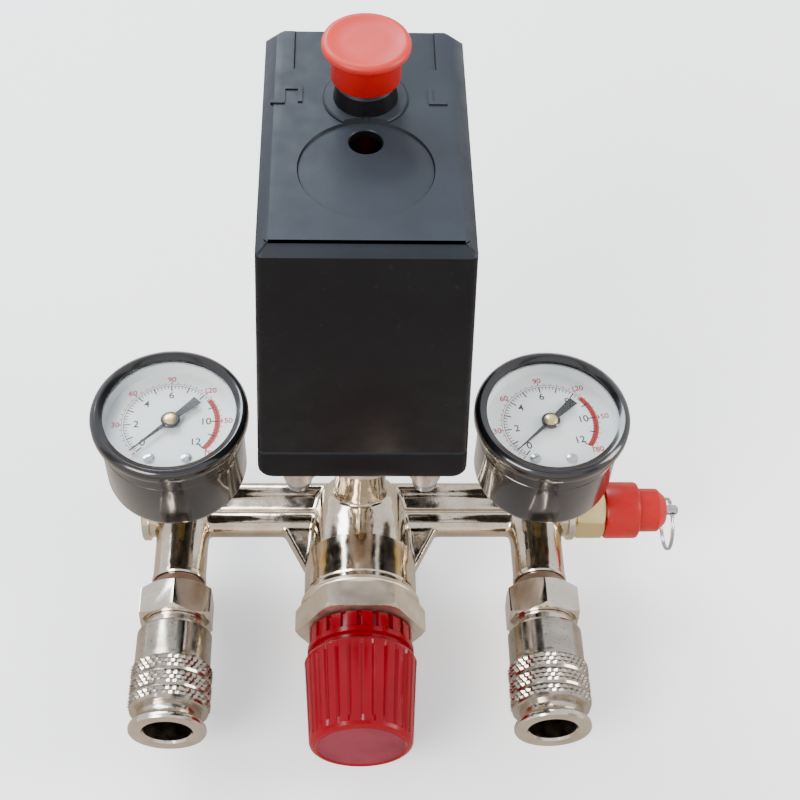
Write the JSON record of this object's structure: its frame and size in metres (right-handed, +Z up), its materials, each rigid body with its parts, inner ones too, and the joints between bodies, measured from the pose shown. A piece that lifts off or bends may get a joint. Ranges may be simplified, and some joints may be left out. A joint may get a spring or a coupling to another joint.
{
  "type": "pressure switch",
  "caption": "Air-compressor pressure switch with a push knob on a plated manifold, with a knob regulator, dial gauges, quick couplers and a pull-ring relief valve.",
  "frame": {"origin": "centre of the tank inlet thread's mouth, at the bottom", "axes": "+Z up along the inlet, -Y towards the regulator knob and couplers, +X towards the relief valve"},
  "size_m": [0.1702, 0.1358, 0.1757],
  "materials": {
    "plated_casting": "nickel plate over a die casting, warm reflections",
    "coupler_plating": "nickel-plated steel, bright",
    "steel": "zinc-plated",
    "spring_steel": "drawn wire",
    "brass": "machined",
    "cast_alloy": "die cast, matt",
    "black_housing": "moulded, satin black",
    "black_enamel": "gloss black enamel",
    "black_rubber": "matt",
    "red_button": "satin moulded red",
    "red_cap": "matt red",
    "crimson_plastic": "glossy moulded crimson",
    "window": "clear",
    "dial_white": "printed white dial",
    "needle_black": "black lacquer"
  },
  "bodies": {
    "root": {"bourdon_tubes": "brass", "cable_grommets": "black_rubber", "contact_block": "black_housing", "coupler_balls": "steel", "coupler_left_body": "coupler_plating", "coupler_left_sleeve_spring": "spring_steel", "coupler_left_valve_spring": "spring_steel", "coupler_right_body": "coupler_plating", "coupler_right_sleeve_spring": "spring_steel", "coupler_right_valve_spring": "spring_steel", "cover_screw": "steel", "dial_screws": "brass", "end_plug": "steel", "fixed_contacts": "brass", "flange_bolts": "steel", "gauge_glasses": "window", "gauge_left_bezel": "black_enamel", "gauge_left_case": "black_enamel", "gauge_left_dial": "dial_white", "gauge_right_bezel": "black_enamel", "gauge_right_case": "black_enamel", "gauge_right_dial": "dial_white", "gauge_sockets": "brass", "main_spring": "spring_steel", "manifold_body": "plated_casting", "pivot_pins": "steel", "poppet_spring": "spring_steel", "port_flange": "cast_alloy", "range_bolt": "steel", "regulator_bonnet": "plated_casting", "regulator_diaphragm": "black_rubber", "regulator_spring": "spring_steel", "safety_valve_body": "brass", "safety_valve_cap": "red_cap", "safety_valve_spring": "spring_steel", "switch_base": "black_housing", "switch_cover": "black_housing", "switch_diaphragm": "black_rubber", "switch_frame": "steel", "terminal_screws": "brass"},
    "on_off_button": {"on_off_knob": "red_button"},
    "rocker": {"trip_rocker": "black_housing"},
    "lever": {"switch_lever": "steel", "contact_carrier": "black_housing", "moving_contacts": "brass"},
    "pressure_plunger": {"plunger": "brass"},
    "screw": {"adjusting_screw": "steel"},
    "seat": {"spring_seat": "brass"},
    "knob": {"regulator_knob": "crimson_plastic"},
    "poppet": {"regulator_poppet": "brass"},
    "relief_stem": {"safety_valve_stem": "steel"},
    "ring": {"pull_ring": "steel"},
    "left_needle": {"gauge_left_needle": "needle_black"},
    "left_sector": {"gauge_left_sector": "brass"},
    "left_sleeve": {"coupler_left_sleeve": "coupler_plating"},
    "left_valve": {"coupler_left_valve": "brass"},
    "right_needle": {"gauge_right_needle": "needle_black"},
    "right_sector": {"gauge_right_sector": "brass"},
    "right_sleeve": {"coupler_right_sleeve": "coupler_plating"},
    "right_valve": {"coupler_right_valve": "brass"}
  },
  "joints": [
    {"name": "on_off_press", "type": "slide", "parent": "root", "child": "on_off_button", "axis": [0, 0, -1], "range_m": [0, 0.006]},
    {"name": "rocker_tilt", "type": "hinge", "parent": "root", "child": "rocker", "pos_m": [0, 0.046, 0.136], "axis": [1, 0, 0], "range_deg": [0, 24]},
    {"name": "lever_tilt", "type": "hinge", "parent": "root", "child": "lever", "pos_m": [0, -0.014, 0.092], "axis": [1, 0, 0], "range_deg": [0, 5.2], "stiffness_Nm_per_rad": 0.6, "springref_deg": -5.73, "deforming": ["main_spring"]},
    {"name": "plunger_lift", "type": "slide", "parent": "root", "child": "pressure_plunger", "axis": [0, 0, 1], "range_m": [0, 0.0014]},
    {"name": "regulator_turn", "type": "hinge", "parent": "root", "child": "screw", "pos_m": [0, -0.06, 0.024], "axis": [0, 1, 0], "range_deg": [0, 720]},
    {"name": "spring_seat_travel", "type": "slide", "parent": "root", "child": "seat", "axis": [0, 1, 0], "range_m": [0, 0.0026]},
    {"name": "knob_pull", "type": "slide", "parent": "screw", "child": "knob", "axis": [0, -1, 0], "range_m": [0, 0.003]},
    {"name": "poppet_open", "type": "slide", "parent": "root", "child": "poppet", "axis": [0, 1, 0], "range_m": [0, 0.0012], "stiffness_N_per_m": 300, "springref_m": -0.001},
    {"name": "relief_pull", "type": "slide", "parent": "root", "child": "relief_stem", "axis": [1, 0, 0], "range_m": [0, 0.0025], "stiffness_N_per_m": 800, "springref_m": -0.002},
    {"name": "ring_swing", "type": "hinge", "parent": "relief_stem", "child": "ring", "pos_m": [0.0945, 0, 0.024], "axis": [0, 1, 0], "range_deg": [-80, 5]},
    {"name": "left_needle_swing", "type": "hinge", "parent": "root", "child": "left_needle", "pos_m": [-0.0523, 0, 0.068], "axis": [0, 0, -1], "range_deg": [0, 270]},
    {"name": "left_sector_swing", "type": "hinge", "parent": "root", "child": "left_sector", "pos_m": [-0.06455, 0, 0.058], "axis": [0, 0, 1], "range_deg": [0, 46]},
    {"name": "left_sleeve_slide", "type": "slide", "parent": "root", "child": "left_sleeve", "axis": [0, 1, 0], "range_m": [0, 0.0023], "stiffness_N_per_m": 500, "springref_m": -0.002},
    {"name": "left_valve_slide", "type": "slide", "parent": "root", "child": "left_valve", "axis": [0, 1, 0], "range_m": [0, 0.003], "stiffness_N_per_m": 200, "springref_m": -0.002},
    {"name": "right_needle_swing", "type": "hinge", "parent": "root", "child": "right_needle", "pos_m": [0.0523, 0, 0.068], "axis": [0, 0, -1], "range_deg": [0, 270]},
    {"name": "right_sector_swing", "type": "hinge", "parent": "root", "child": "right_sector", "pos_m": [0.04005, 0, 0.058], "axis": [0, 0, 1], "range_deg": [0, 46]},
    {"name": "right_sleeve_slide", "type": "slide", "parent": "root", "child": "right_sleeve", "axis": [0, 1, 0], "range_m": [0, 0.0023], "stiffness_N_per_m": 500, "springref_m": -0.002},
    {"name": "right_valve_slide", "type": "slide", "parent": "root", "child": "right_valve", "axis": [0, 1, 0], "range_m": [0, 0.003], "stiffness_N_per_m": 200, "springref_m": -0.002}
  ],
  "couplings": [
    {"joint": "rocker_tilt", "follows": "on_off_press", "rad_per_m": 66.667},
    {"joint": "plunger_lift", "follows": "lever_tilt", "m_per_rad": 0.014},
    {"joint": "spring_seat_travel", "follows": "regulator_turn", "m_per_rad": 0.00019894},
    {"joint": "left_sector_swing", "follows": "left_needle_swing", "ratio": 0.16667},
    {"joint": "right_sector_swing", "follows": "right_needle_swing", "ratio": 0.16667}
  ]
}
